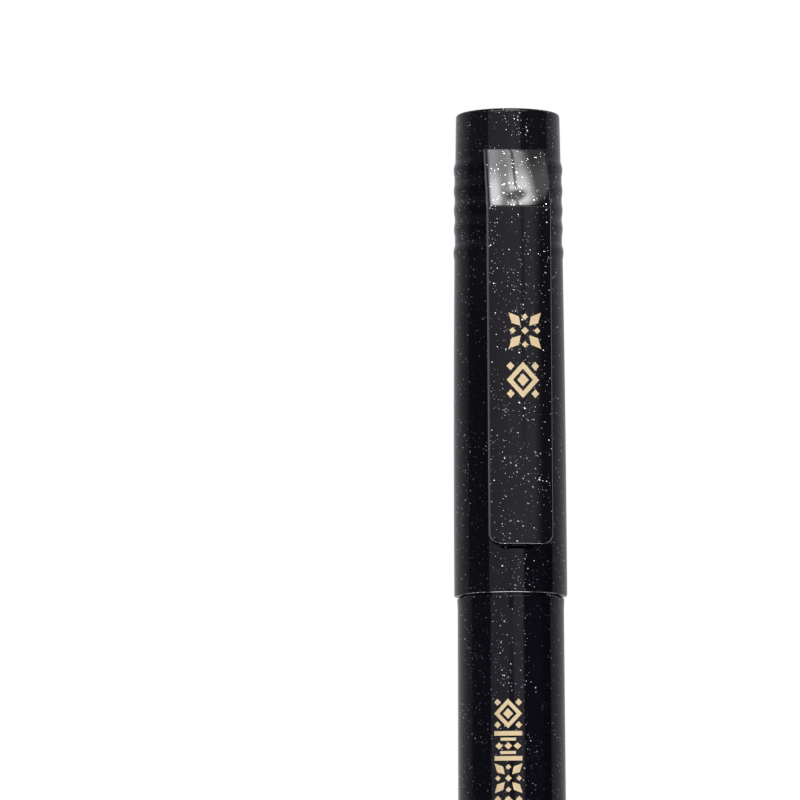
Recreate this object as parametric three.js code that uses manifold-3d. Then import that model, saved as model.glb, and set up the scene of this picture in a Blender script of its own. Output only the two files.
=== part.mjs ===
// Calligraphy brush marker: a capped brush pen with a felt ink store, standing on its tail.
// Frame: millimetres, +Z along the pen from tail to cap top, origin at the centre of the tail's
// flat end face, clip on the -Y side.

import * as THREE from 'three';
import { mergeVertices } from 'three/addons/utils/BufferGeometryUtils.js';
import Module from 'manifold-3d';

const wasm = await Module();
wasm.setup();

// ---- Driving dimensions ------------------------------------------------------------------

const ROUND = 48; // sides of every turned piece
const ARC_STEPS = 4; // points along each curved stretch of an outline
const BAR_SIDES = 24; // sides of the thin bar that the clip turns on
const WELD = 1e-4; // vertices closer than this are one vertex

const FIT = 0.05; // radial clearance between nested round pieces
const REST = 0.02; // gap between faces that rest on each other

// Lengths along the pen
const PEN_LENGTH = 138;
const CAP_LENGTH = 52.3;
const MOUTH_GAP = 0.2; // between the cap's mouth and the barrel's rim
const SECTION_LENGTH = 27.5; // from the barrel's rim to the shoulder
const COLLAR_LENGTH = 6.2; // collar outside the shoulder
const BRUSH_LENGTH = 11.15; // brush outside the collar

const RIM_Z = PEN_LENGTH - CAP_LENGTH - MOUTH_GAP;
const MOUTH_Z = RIM_Z + MOUTH_GAP;
const SHOULDER_Z = RIM_Z + SECTION_LENGTH;
const COLLAR_TOP_Z = SHOULDER_Z + COLLAR_LENGTH;
const BRUSH_POINT_Z = COLLAR_TOP_Z + BRUSH_LENGTH;

// Barrel and tail plug
const TAIL_R = 5.2;
const BODY_R = 5.8;
const SWELL_START_Z = 26; // the barrel swells from its tail to its full radius
const SWELL_END_Z = 56;
const NECK_R = 5.715; // waist just below the rim's lip
const LIP_R = 5.77;
const LIP_HEIGHT = 1.4;
const LIP_EDGE = 0.2;
const BARREL_BORE_R = 4.75;
const SOCKET_R = 4.9; // wider bore that takes the section's spigot
const PLUG_FLANGE = 1.6;
const PLUG_EDGE = 0.6;
const PLUG_DEPTH = 8;
const PLUG_WALL = 1.1;
const BORE_STEP = 0.15; // height of the cone between the barrel's two bores
const END_PLAY = 1; // free length past the section's spigot and past the barrel's ribs
const RIB_COUNT = 4; // ribs inside the barrel that centre the ink store
const RIB_WIDTH = 0.8;
const RIB_INNER_R = 4.45;

// Front section, from the barrel's rim to the shoulder
const LAND_R = 5.225;
const BEAD_R = 5.34; // snap bead that the cap clicks over
const BEAD_LOW = 1.7; // bead's lower and upper edges above the rim
const BEAD_HIGH = 3.2;
const SECTION_LOW_R = 5.12;
const SECTION_HIGH_R = 4.9;
const BEAD_EASE = 0.1; // how soft the bead's upper and lower corners are
const SHOULDER_EDGE = 0.33;
const SPIGOT_DEPTH = 22.4;
const SECTION_BORE_R = 3.6;
const SHOULDER_WALL = 1.75;

// Brush unit
const COLLAR_R = 2.9;
const COLLAR_EDGE = 0.3;
const COLLAR_FLANGE_R = 3.55;
const COLLAR_TAIL = 8.75; // collar hidden behind the shoulder
const COLLAR_FLANGE = 6.95;
const BRUSH_R = 2.18;
const ROOT_SEAT = 2.5; // counterbore at the collar's rear
const ROOT_R = 2.7;
const ROOT_THICK = 1.35;

// Ink feed and ink store
const WICK_R = 1.0;
const WICK_IN_STORE = 7;
const HOLDER_R = 3.5;
const HOLDER_GROOVES = 3;
const GROOVE_WIDTH = 0.8;
const GROOVE_DEPTH = 0.7;
const STORE_R = 4.2;
const FILM_R = 4.4;
const FILM_OVERLAP = 0.3; // how far the film stands past each end of the fibre

// Cap and inner cap
const CAP_MOUTH_R = 6.075;
const CAP_BULGE_R = 6.08; // control point of the cap's long outer curve
const CAP_BULGE_Z = MOUTH_Z + 28.4;
const CAP_TOP_R = 5.6;
const CAP_MOUTH_EDGE = 0.14;
const CAP_TOP_EDGE = 0.36;
const CAP_TOP_WALL = 1.6;
const GRIP_RIB_DEPTHS = [6.0, 8.3, 10.4, 12.45, 15.0]; // ribs below the cap's top
const GRIP_RIB_HALF = 0.85;
const GRIP_R = 5.785; // between the ribs, where the cap is straight
const GRIP_RIB_R = 5.88;
const LAST_RIB_R = 5.95; // the rib nearest the mouth stands prouder
const SNAP_R = BEAD_R + 0.06; // cap's inner ridge, which passes the bead
const SNAP_LOW = 0.4; // snap ridge's edges above the mouth
const SNAP_HIGH = 1.1;
const SNAP_SLOPE = 0.2;
const MOUTH_CHAMFER = 0.3;
const BEAD_GROOVE_R = 5.5;
const BEAD_GROOVE_HIGH = 4;
const BEAD_GROOVE_SLOPE = 0.6;
const CAP_BORE_LOW_R = 5.3;
const CAP_BORE_HIGH_R = 5.08;
const INNER_SEAT_R = 4.9;
const SEAT_LEAD = 0.3; // the seat starts this far below the inner cap's flange
const CAP_NARROW_R = 4.3; // thicker wall behind the clip's root
const CAP_NARROW_Z = MOUTH_Z + 41;
const INNER_FLANGE_Z = SHOULDER_Z + 1.15;
const INNER_FLANGE = 2.4;
const INNER_TUBE_R = 3.85;
const INNER_BORE_R = 3.3;
const INNER_SEAL = 5; // length of the lip that seals on the collar
const INNER_TOP_WALL = 1.2;
const INNER_TOP_GAP = 0.2;
const INNER_EASE = 0.6; // chamfer at the top of the thimble and above its flange
const SEAL_EASE = 0.4;

// Clip
const CLIP_TOP_Z = PEN_LENGTH - 4.5;
const CLIP_LENGTH = 42.9;
const CLIP_BOTTOM_Z = CLIP_TOP_Z - CLIP_LENGTH;
const CLIP_WIDTH = 6.98;
const CLIP_CORNER_R = 1.35;
const CLIP_TOP_CORNER_R = 0.35;
const CLIP_RAMP = 6.6; // sloping stretch below the clip's top
const CLIP_ROOT = 4.6; // solid stretch that meets the cap
const CLIP_TOP_REACH = 6.1; // distance of the outer face from the pen's axis
const CLIP_RAMP_REACH = 8.6;
const CLIP_BOTTOM_REACH = 8.75;
const CLIP_THICK = 1.2;
const CLIP_EDGE = 0.2; // rounding of the top and bottom edges
const CLIP_BEND = 0.4; // half length of the bend below the ramp
const CLIP_NUB_Z = CLIP_BOTTOM_Z + 2.9;
const CLIP_NUB_R = 1.5;
const CLIP_CLEAR = 0.1; // gap between the clip and the cap
const CLIP_RIB_ROOM = 0.2; // further gap along the cap, for its ribs
const CLIP_PIVOT_Z = CLIP_TOP_Z - 0.8;
const CLIP_KEY_R = 0.7;
const CLIP_KEY_LENGTH = 4.4;
const CLIP_KEY_CLEAR = 0.08;
const CLIP_KEY_END = 0.1; // gap at each end of the key
const CLIP_ROOT_EASE = 1; // half size of the curve under the root

// ---- Materials ---------------------------------------------------------------------------

const glitterBlack = { color: 0x111014, roughness: 0.12, metalness: 0.15 };
const plainBlack = { color: 0x0c0c0e, roughness: 0.25, metalness: 0 };
const bristleBlack = { color: 0x0b0b0c, roughness: 0.7, metalness: 0 };
const softWhite = { color: 0xdcdcd6, roughness: 0.5, metalness: 0 };
const inkedFelt = { color: 0x16161a, roughness: 0.95, metalness: 0 };
const clearFilm = { color: 0xc9ced2, roughness: 0.3, metalness: 0 };

// ---- Helpers -----------------------------------------------------------------------------

/** Solid of revolution about Z from an outline drawn in (radius, height). */
function turned(outline) {
  const geometry = new THREE.LatheGeometry(outline.getPoints(ARC_STEPS), ROUND);
  return geometry.rotateX(Math.PI / 2);
}

/** Tube with square ends. */
function tube(innerR, outerR, low, high) {
  const outline = new THREE.Path();
  outline.moveTo(innerR, low);
  outline.lineTo(outerR, low);
  outline.lineTo(outerR, high);
  outline.lineTo(innerR, high);
  outline.closePath();
  return turned(outline);
}

/** Rounded dome standing on Z = 0, with a round foot reaching below it. */
function dome(radius, height, foot) {
  const outline = new THREE.Path();
  outline.moveTo(0, -foot);
  outline.lineTo(radius, -foot);
  outline.lineTo(radius, 0);
  outline.quadraticCurveTo(radius, height, 0, height);
  return turned(outline);
}

/** Bar lying along X, centred on X = 0, with its axis at the given reach towards the clip. */
function crossBar(radius, length, reach, z) {
  const bar = new THREE.CylinderGeometry(radius, radius, length, BAR_SIDES);
  return bar.rotateZ(Math.PI / 2).translate(0, -reach, z);
}

/** Closed manifold solid of a geometry, ready to be joined or cut. */
function solid(geometry) {
  const bare = geometry.clone();
  bare.deleteAttribute('normal');
  bare.deleteAttribute('uv');
  const welded = mergeVertices(bare, WELD);
  const index = welded.index.array;
  const faces = [];
  for (let i = 0; i < index.length; i += 3) {
    const [a, b, c] = [index[i], index[i + 1], index[i + 2]];
    if (a !== b && b !== c && c !== a) faces.push(a, b, c);
  }
  const mesh = new wasm.Mesh({
    numProp: 3,
    vertProperties: Float32Array.from(welded.attributes.position.array),
    triVerts: Uint32Array.from(faces),
  });
  return new wasm.Manifold(mesh);
}

/** Geometry of a manifold solid. */
function geometryOf(body) {
  const mesh = body.getMesh();
  const geometry = new THREE.BufferGeometry();
  geometry.setAttribute('position', new THREE.BufferAttribute(mesh.vertProperties, 3));
  geometry.setIndex(new THREE.BufferAttribute(mesh.triVerts, 1));
  geometry.computeVertexNormals();
  return geometry;
}

/** Named piece with a material of its own. */
function piece(name, geometry, finish) {
  const mesh = new THREE.Mesh(geometry, new THREE.MeshStandardMaterial(finish));
  mesh.name = name;
  return mesh;
}

/** Outer radius of the cap at a height, without its ribs. */
const capCurve = new THREE.QuadraticBezierCurve(
  new THREE.Vector2(CAP_MOUTH_R, MOUTH_Z),
  new THREE.Vector2(CAP_BULGE_R, CAP_BULGE_Z),
  new THREE.Vector2(CAP_TOP_R, PEN_LENGTH),
);

function capRadius(z) {
  const steps = 400;
  const points = capCurve.getPoints(steps);
  const above = points.findIndex((p) => p.y >= z);
  return points[Math.max(above, 0)].x;
}

// ---- Barrel end of the pen ---------------------------------------------------------------

function barrel() {
  const base = PLUG_FLANGE + REST;
  const socketZ = RIM_Z - SPIGOT_DEPTH - END_PLAY;
  const outline = new THREE.Path();
  outline.moveTo(BARREL_BORE_R, base);
  outline.lineTo(TAIL_R, base);
  outline.quadraticCurveTo(BODY_R, SWELL_START_Z, BODY_R, SWELL_END_Z);
  outline.lineTo(NECK_R, RIM_Z - LIP_HEIGHT);
  outline.lineTo(LIP_R, RIM_Z - LIP_EDGE);
  outline.quadraticCurveTo(LIP_R, RIM_Z, LIP_R - LIP_EDGE, RIM_Z);
  outline.lineTo(SOCKET_R, RIM_Z);
  outline.lineTo(SOCKET_R, socketZ);
  outline.lineTo(BARREL_BORE_R, socketZ - BORE_STEP);
  outline.closePath();

  let body = solid(turned(outline));
  const ribLow = PLUG_FLANGE + PLUG_DEPTH + END_PLAY;
  const ribHigh = socketZ - END_PLAY;
  for (let i = 0; i < RIB_COUNT; i += 1) {
    const depth = (BARREL_BORE_R + TAIL_R) / 2 - RIB_INNER_R;
    const rib = new THREE.BoxGeometry(depth, RIB_WIDTH, ribHigh - ribLow);
    rib.translate(RIB_INNER_R + depth / 2, 0, (ribLow + ribHigh) / 2);
    rib.rotateZ((i + 0.5) * (2 * Math.PI / RIB_COUNT));
    body = body.add(solid(rib));
  }
  return piece('barrel', geometryOf(body), glitterBlack);
}

function tailPlug() {
  const spigotR = BARREL_BORE_R - FIT;
  const top = PLUG_FLANGE + PLUG_DEPTH;
  const outline = new THREE.Path();
  outline.moveTo(0, 0);
  outline.lineTo(TAIL_R - PLUG_EDGE, 0);
  outline.quadraticCurveTo(TAIL_R, 0, TAIL_R, PLUG_EDGE);
  outline.lineTo(TAIL_R, PLUG_FLANGE);
  outline.lineTo(spigotR, PLUG_FLANGE);
  outline.lineTo(spigotR, top);
  outline.lineTo(spigotR - PLUG_WALL, top);
  outline.lineTo(spigotR - PLUG_WALL, PLUG_FLANGE);
  outline.lineTo(0, PLUG_FLANGE);
  return piece('tail_plug', turned(outline), glitterBlack);
}

const STORE_LOW = PLUG_FLANGE + PLUG_DEPTH + REST;
const STORE_HIGH = RIM_Z - SPIGOT_DEPTH - REST;

function inkReservoir() {
  const low = STORE_LOW + FILM_OVERLAP;
  const high = STORE_HIGH - FILM_OVERLAP;
  const wickHole = WICK_R + FIT;
  const holeFloor = high - WICK_IN_STORE - FIT;
  const outline = new THREE.Path();
  outline.moveTo(0, low);
  outline.lineTo(STORE_R, low);
  outline.lineTo(STORE_R, high);
  outline.lineTo(wickHole, high);
  outline.lineTo(wickHole, holeFloor);
  outline.lineTo(0, holeFloor);
  return piece('ink_reservoir', turned(outline), inkedFelt);
}

function reservoirFilm() {
  return piece('reservoir_film', tube(STORE_R + REST, FILM_R, STORE_LOW, STORE_HIGH), clearFilm);
}

// ---- Front section and brush unit ----------------------------------------------------------

function frontSection() {
  const spigotR = SOCKET_R - FIT;
  const seat = RIM_Z + REST;
  const rear = RIM_Z - SPIGOT_DEPTH;
  const outletR = COLLAR_R + FIT;
  const beadMiddle = RIM_Z + (BEAD_LOW + BEAD_HIGH) / 2;
  const outline = new THREE.Path();
  outline.moveTo(SECTION_BORE_R, rear);
  outline.lineTo(spigotR, rear);
  outline.lineTo(spigotR, seat);
  outline.lineTo(LAND_R, seat);
  outline.lineTo(LAND_R, RIM_Z + BEAD_LOW);
  outline.quadraticCurveTo(BEAD_R, RIM_Z + BEAD_LOW + BEAD_EASE, BEAD_R, beadMiddle);
  outline.quadraticCurveTo(BEAD_R, RIM_Z + BEAD_HIGH - BEAD_EASE, SECTION_LOW_R, RIM_Z + BEAD_HIGH);
  outline.lineTo(SECTION_HIGH_R, SHOULDER_Z - SHOULDER_EDGE);
  outline.quadraticCurveTo(SECTION_HIGH_R, SHOULDER_Z, SECTION_HIGH_R - SHOULDER_EDGE, SHOULDER_Z);
  outline.lineTo(outletR, SHOULDER_Z);
  outline.lineTo(outletR, SHOULDER_Z - SHOULDER_WALL);
  outline.lineTo(SECTION_BORE_R, SHOULDER_Z - SHOULDER_WALL);
  outline.closePath();
  return piece('front_section', turned(outline), glitterBlack);
}

function brushCollar() {
  const rear = SHOULDER_Z - COLLAR_TAIL;
  const flangeTop = rear + COLLAR_FLANGE;
  const boreR = BRUSH_R + FIT;
  const seatR = ROOT_R + FIT;
  const outline = new THREE.Path();
  outline.moveTo(seatR, rear);
  outline.lineTo(COLLAR_FLANGE_R, rear);
  outline.lineTo(COLLAR_FLANGE_R, flangeTop);
  outline.lineTo(COLLAR_R, flangeTop);
  outline.lineTo(COLLAR_R, COLLAR_TOP_Z - COLLAR_EDGE);
  outline.quadraticCurveTo(COLLAR_R, COLLAR_TOP_Z, COLLAR_R - COLLAR_EDGE, COLLAR_TOP_Z);
  outline.lineTo(boreR, COLLAR_TOP_Z);
  outline.lineTo(boreR, rear + ROOT_SEAT);
  outline.lineTo(seatR, rear + ROOT_SEAT);
  outline.closePath();
  return piece('brush_collar', turned(outline), glitterBlack);
}

const ROOT_TOP_Z = SHOULDER_Z - COLLAR_TAIL + ROOT_SEAT - FIT;

function brushRoot() {
  return piece('brush_root', tube(WICK_R + FIT, ROOT_R, ROOT_TOP_Z - ROOT_THICK, ROOT_TOP_Z), plainBlack);
}

function brushBristles() {
  const base = ROOT_TOP_Z + REST;
  const rings = 12;
  const outline = new THREE.Path();
  outline.moveTo(0, base);
  outline.lineTo(BRUSH_R, base);
  for (let i = 0; i < rings; i += 1) {
    const along = i / rings;
    outline.lineTo(BRUSH_R * (1 - along * along), COLLAR_TOP_Z + along * BRUSH_LENGTH);
  }
  outline.lineTo(0, BRUSH_POINT_Z);
  return piece('brush_bristles', turned(outline), bristleBlack);
}

function feedHolder() {
  const low = RIM_Z - SPIGOT_DEPTH + REST;
  const high = SHOULDER_Z - COLLAR_TAIL - REST;
  const through = 2 * (high - low); // runs out past both ends
  let body = solid(tube(WICK_R + FIT, HOLDER_R, low, high));
  for (let i = 0; i < HOLDER_GROOVES; i += 1) {
    const groove = new THREE.BoxGeometry(2 * GROOVE_DEPTH, GROOVE_WIDTH, through);
    groove.translate(HOLDER_R, 0, (low + high) / 2);
    groove.rotateZ(i * (2 * Math.PI / HOLDER_GROOVES));
    body = body.subtract(solid(groove));
  }
  return piece('feed_holder', geometryOf(body), softWhite);
}

function feedWick() {
  const low = STORE_HIGH - FILM_OVERLAP - WICK_IN_STORE;
  const outline = new THREE.Path();
  outline.moveTo(0, low);
  outline.lineTo(WICK_R, low);
  outline.lineTo(WICK_R, ROOT_TOP_Z - REST);
  outline.lineTo(0, ROOT_TOP_Z - REST);
  return piece('feed_wick', turned(outline), inkedFelt);
}

// ---- Cap ---------------------------------------------------------------------------------

/** Outside of the cap from mouth to top: one long curve, broken by the grip ribs. */
function drawCapOutside(outline) {
  const ribs = GRIP_RIB_DEPTHS.map((depth) => PEN_LENGTH - depth).reverse();
  const plainSteps = 5;
  outline.lineTo(CAP_MOUTH_R - CAP_MOUTH_EDGE, MOUTH_Z);
  outline.quadraticCurveTo(CAP_MOUTH_R, MOUTH_Z, CAP_MOUTH_R, MOUTH_Z + CAP_MOUTH_EDGE);
  for (let i = 1; i < plainSteps; i += 1) {
    const z = MOUTH_Z + (i / plainSteps) * (ribs[0] - MOUTH_Z);
    outline.lineTo(capRadius(z), z);
  }
  ribs.forEach((z, i) => {
    const [below, above] = [z - GRIP_RIB_HALF, z + GRIP_RIB_HALF];
    const lowFoot = i === 0 ? capRadius(below) : GRIP_R;
    const highFoot = i === ribs.length - 1 ? capRadius(above) : GRIP_R;
    const crest = i === 0 ? LAST_RIB_R : GRIP_RIB_R;
    outline.lineTo(lowFoot, below);
    outline.quadraticCurveTo(2 * crest - (lowFoot + highFoot) / 2, z, highFoot, above);
  });
  outline.lineTo(CAP_TOP_R, PEN_LENGTH - CAP_TOP_EDGE);
  outline.quadraticCurveTo(CAP_TOP_R, PEN_LENGTH, CAP_TOP_R - CAP_TOP_EDGE, PEN_LENGTH);
  outline.lineTo(0, PEN_LENGTH);
}

function capShell() {
  const ceiling = PEN_LENGTH - CAP_TOP_WALL;
  const outline = new THREE.Path();
  outline.moveTo(0, ceiling);
  outline.lineTo(CAP_NARROW_R, ceiling);
  outline.lineTo(CAP_NARROW_R, CAP_NARROW_Z);
  outline.lineTo(INNER_SEAT_R, CAP_NARROW_Z - END_PLAY);
  outline.lineTo(INNER_SEAT_R, INNER_FLANGE_Z - SEAT_LEAD);
  outline.lineTo(CAP_BORE_HIGH_R, INNER_FLANGE_Z - SEAT_LEAD - SNAP_SLOPE);
  outline.lineTo(CAP_BORE_LOW_R, MOUTH_Z + BEAD_GROOVE_HIGH + BEAD_GROOVE_SLOPE);
  outline.lineTo(BEAD_GROOVE_R, MOUTH_Z + BEAD_GROOVE_HIGH);
  outline.lineTo(BEAD_GROOVE_R, MOUTH_Z + SNAP_HIGH + SNAP_SLOPE);
  outline.lineTo(SNAP_R, MOUTH_Z + SNAP_HIGH);
  outline.lineTo(SNAP_R, MOUTH_Z + SNAP_LOW);
  outline.lineTo(SNAP_R + MOUTH_CHAMFER, MOUTH_Z);
  drawCapOutside(outline);

  const pivotReach = capRadius(CLIP_PIVOT_Z);
  const socketR = CLIP_KEY_R + CLIP_KEY_CLEAR;
  const socketLength = CLIP_KEY_LENGTH + 2 * CLIP_KEY_END;
  const socket = crossBar(socketR, socketLength, pivotReach, CLIP_PIVOT_Z);
  const body = solid(turned(outline)).subtract(solid(socket));
  return piece('cap_shell', geometryOf(body), glitterBlack);
}

function innerCap() {
  const flangeR = INNER_SEAT_R - FIT;
  const sealR = COLLAR_R + FIT;
  const top = PEN_LENGTH - CAP_TOP_WALL - INNER_TOP_GAP;
  const outline = new THREE.Path();
  outline.moveTo(0, top);
  outline.lineTo(0, top - INNER_TOP_WALL);
  outline.lineTo(INNER_BORE_R, top - INNER_TOP_WALL);
  outline.lineTo(INNER_BORE_R, INNER_FLANGE_Z + INNER_SEAL + SEAL_EASE);
  outline.lineTo(sealR, INNER_FLANGE_Z + INNER_SEAL);
  outline.lineTo(sealR, INNER_FLANGE_Z);
  outline.lineTo(flangeR, INNER_FLANGE_Z);
  outline.lineTo(flangeR, INNER_FLANGE_Z + INNER_FLANGE);
  outline.lineTo(INNER_TUBE_R, INNER_FLANGE_Z + INNER_FLANGE + INNER_EASE);
  outline.lineTo(INNER_TUBE_R, top - INNER_EASE);
  outline.lineTo(INNER_TUBE_R - INNER_EASE, top);
  outline.lineTo(0, top);
  return piece('inner_cap', turned(outline), softWhite);
}

// ---- Clip --------------------------------------------------------------------------------

/** Side view of the clip, in (distance from the pen's axis, height), drawn up to the axis side. */
function clipSide() {
  const rampZ = CLIP_TOP_Z - CLIP_RAMP;
  const slope = (CLIP_RAMP_REACH - CLIP_TOP_REACH) / CLIP_RAMP;
  const rootZ = CLIP_TOP_Z - CLIP_ROOT;
  const buried = 2; // depth below the cap's surface, cut away afterwards
  const side = new THREE.Shape();
  side.moveTo(buried, CLIP_TOP_Z);
  side.lineTo(CLIP_TOP_REACH - CLIP_EDGE, CLIP_TOP_Z);
  const rampStart = CLIP_TOP_REACH + slope * CLIP_EDGE;
  side.quadraticCurveTo(CLIP_TOP_REACH, CLIP_TOP_Z, rampStart, CLIP_TOP_Z - CLIP_EDGE);
  side.lineTo(CLIP_RAMP_REACH - slope * CLIP_BEND, rampZ + CLIP_BEND);
  side.quadraticCurveTo(CLIP_RAMP_REACH, rampZ, CLIP_RAMP_REACH, rampZ - CLIP_BEND);
  side.lineTo(CLIP_BOTTOM_REACH, CLIP_BOTTOM_Z + CLIP_EDGE);
  side.quadraticCurveTo(CLIP_BOTTOM_REACH, CLIP_BOTTOM_Z, CLIP_BOTTOM_REACH - CLIP_EDGE, CLIP_BOTTOM_Z);
  side.lineTo(CLIP_BOTTOM_REACH - CLIP_THICK, CLIP_BOTTOM_Z);
  side.lineTo(CLIP_RAMP_REACH - CLIP_THICK, rootZ - CLIP_ROOT_EASE);
  side.quadraticCurveTo(CLIP_RAMP_REACH - CLIP_THICK, rootZ, capRadius(rootZ), rootZ);
  side.lineTo(buried, rootZ);
  side.closePath();
  return side;
}

/** Front view of the clip, in (X, height), with rounded corners. */
function clipFront() {
  const half = CLIP_WIDTH / 2;
  const cornerX = half - CLIP_CORNER_R;
  const cornerZ = CLIP_BOTTOM_Z + CLIP_CORNER_R;
  const front = new THREE.Shape();
  front.moveTo(-half + CLIP_TOP_CORNER_R, CLIP_TOP_Z);
  front.quadraticCurveTo(-half, CLIP_TOP_Z, -half, CLIP_TOP_Z - CLIP_TOP_CORNER_R);
  front.lineTo(-half, cornerZ);
  front.absarc(-cornerX, cornerZ, CLIP_CORNER_R, Math.PI, 1.5 * Math.PI);
  front.lineTo(cornerX, CLIP_BOTTOM_Z);
  front.absarc(cornerX, cornerZ, CLIP_CORNER_R, 1.5 * Math.PI, 2 * Math.PI);
  front.lineTo(half, CLIP_TOP_Z - CLIP_TOP_CORNER_R);
  front.quadraticCurveTo(half, CLIP_TOP_Z, half - CLIP_TOP_CORNER_R, CLIP_TOP_Z);
  front.closePath();
  return front;
}

function clip() {
  const extrude = (shape, depth) =>
    new THREE.ExtrudeGeometry(shape, { depth, bevelEnabled: false, curveSegments: ARC_STEPS });
  // The side view is drawn in X = reach, Y = height; it turns to face along X.
  const span = 2 * CLIP_WIDTH; // wider than the clip on both sides
  const slab = extrude(clipSide(), span).translate(0, 0, -span / 2);
  slab.rotateX(Math.PI / 2).rotateZ(-Math.PI / 2);
  const reach = 2 * CLIP_BOTTOM_REACH;
  const plate = extrude(clipFront(), reach).rotateX(Math.PI / 2);

  const envelope = new THREE.Path();
  const envelopeSteps = 5;
  envelope.moveTo(0, MOUTH_Z);
  for (let i = 0; i <= envelopeSteps; i += 1) {
    const z = MOUTH_Z + (i / envelopeSteps) * CAP_LENGTH;
    envelope.lineTo(capRadius(z) + CLIP_RIB_ROOM + CLIP_CLEAR, z);
  }
  envelope.lineTo(0, PEN_LENGTH);

  const nubReach = CLIP_BOTTOM_REACH - CLIP_THICK;
  const nubDepth = nubReach - capRadius(CLIP_NUB_Z) - CLIP_CLEAR;
  const nub = dome(CLIP_NUB_R, nubDepth, CLIP_THICK / 2).rotateX(-Math.PI / 2);
  nub.translate(0, -nubReach, CLIP_NUB_Z);
  const key = crossBar(CLIP_KEY_R, CLIP_KEY_LENGTH, capRadius(CLIP_PIVOT_Z), CLIP_PIVOT_Z);

  const body = solid(slab)
    .intersect(solid(plate))
    .subtract(solid(turned(envelope)))
    .add(solid(nub))
    .add(solid(key));
  return piece('clip', geometryOf(body), glitterBlack);
}

// ---- Assembly ----------------------------------------------------------------------------

const pen = new THREE.Group();
pen.add(barrel(), tailPlug(), inkReservoir(), reservoirFilm());
pen.add(frontSection(), brushCollar(), brushRoot(), brushBristles(), feedHolder(), feedWick());

const cap = new THREE.Group();
cap.add(capShell(), innerCap(), clip());
pen.add(cap);

export default pen;
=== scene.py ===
"""Calligraphy brush marker: the finished surfaces, materials, studio and camera.

Metres, +Z along the pen from tail to cap top, clip on the -Y side.
"""

import math
import random

import bmesh
import bpy
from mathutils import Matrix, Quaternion, Vector


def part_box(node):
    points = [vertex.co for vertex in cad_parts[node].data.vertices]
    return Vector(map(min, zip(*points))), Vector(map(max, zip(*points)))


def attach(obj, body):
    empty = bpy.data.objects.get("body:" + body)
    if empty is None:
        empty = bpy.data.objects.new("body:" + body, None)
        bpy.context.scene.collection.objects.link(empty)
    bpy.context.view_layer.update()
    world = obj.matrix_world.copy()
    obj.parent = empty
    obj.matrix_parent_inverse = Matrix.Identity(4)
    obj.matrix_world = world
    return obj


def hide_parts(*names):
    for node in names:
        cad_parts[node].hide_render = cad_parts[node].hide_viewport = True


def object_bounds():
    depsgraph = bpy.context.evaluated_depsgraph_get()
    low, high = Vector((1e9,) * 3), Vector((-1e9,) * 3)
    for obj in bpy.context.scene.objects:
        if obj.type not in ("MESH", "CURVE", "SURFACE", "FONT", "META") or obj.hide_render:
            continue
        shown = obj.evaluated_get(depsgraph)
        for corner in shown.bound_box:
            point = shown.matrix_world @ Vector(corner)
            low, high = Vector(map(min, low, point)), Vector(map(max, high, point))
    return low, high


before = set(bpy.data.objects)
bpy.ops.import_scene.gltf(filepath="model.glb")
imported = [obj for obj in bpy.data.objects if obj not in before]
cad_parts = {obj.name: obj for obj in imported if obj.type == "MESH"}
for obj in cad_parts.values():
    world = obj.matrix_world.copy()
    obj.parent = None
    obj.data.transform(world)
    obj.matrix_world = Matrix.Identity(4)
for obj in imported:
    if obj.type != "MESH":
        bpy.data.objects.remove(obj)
cad_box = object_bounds()

MM = 0.001
SEGMENTS = 160  # sides of every large turned piece
ARC = 8  # steps along each rounded edge
CHAMFER = 0.1  # bevel of small edges


# ---- Measures taken from the frame, in millimetres ------------------------------------------


def low_high(node, axis):
    """Lowest and highest coordinate of a CAD node along one axis."""
    low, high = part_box(node)
    return low[axis] / MM, high[axis] / MM


RIM_Z = low_high("barrel", 2)[1]
BARREL_LOW_Z = low_high("barrel", 2)[0]
BODY_R = low_high("barrel", 0)[1]
TAIL_R = low_high("tail_plug", 0)[1]
PLUG_TOP_Z = low_high("tail_plug", 2)[1]
SECTION_LOW_Z, SHOULDER_Z = low_high("front_section", 2)
BEAD_R = low_high("front_section", 0)[1]
COLLAR_LOW_Z, COLLAR_TOP_Z = low_high("brush_collar", 2)
COLLAR_FLANGE_R = low_high("brush_collar", 0)[1]
BRUSH_LOW_Z, BRUSH_POINT_Z = low_high("brush_bristles", 2)
BRUSH_R = low_high("brush_bristles", 0)[1]
MOUTH_Z, CAP_TOP_Z = low_high("cap_shell", 2)
INNER_LOW_Z, INNER_TOP_Z = low_high("inner_cap", 2)
INNER_FLANGE_R = low_high("inner_cap", 0)[1]
CLIP_LONGER = 0.08  # the finished clip is a hair longer than the CAD one
CLIP_BOTTOM_Z = low_high("clip", 2)[0] - CLIP_LONGER
CLIP_TOP_Z = low_high("clip", 2)[1]
CLIP_REACH = -low_high("clip", 1)[0]
CLIP_HALF_WIDTH = low_high("clip", 0)[1]

# Barrel and tail plug
TAIL_FLANGE = 1.6
TAIL_EDGE = 0.6
SWELL_START_Z = 26
SWELL_END_Z = 56
NECK_R = BODY_R - 0.085
LIP_R = 5.77
LIP_HEIGHT = 1.4
LIP_EDGE = 0.08
PARTING = 0.06  # the finished lip stops this far below its seat, which shows as a dark line
BARREL_BORE_R = 4.75
SOCKET_R = 4.9
SOCKET_DEPTH = 23.4
PLUG_WALL = 1.1

# Front section and brush unit
LAND_R = 5.225
BEAD_LOW = 1.7
BEAD_HIGH = 3.2
SECTION_LOW_R = 5.12
SECTION_HIGH_R = 4.9
SHOULDER_EDGE = 0.33
SECTION_BORE_R = 3.6
SHOULDER_WALL = 1.75
COLLAR_R = 2.9
COLLAR_EDGE = 0.3
COLLAR_FLANGE = 6.95
ROOT_SEAT = 2.5
ROOT_SEAT_R = 2.75
SEAT_GAP = 0.02  # between the section's land and the barrel's rim
FIT = 0.05  # radial gap where one piece sits in another

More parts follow.
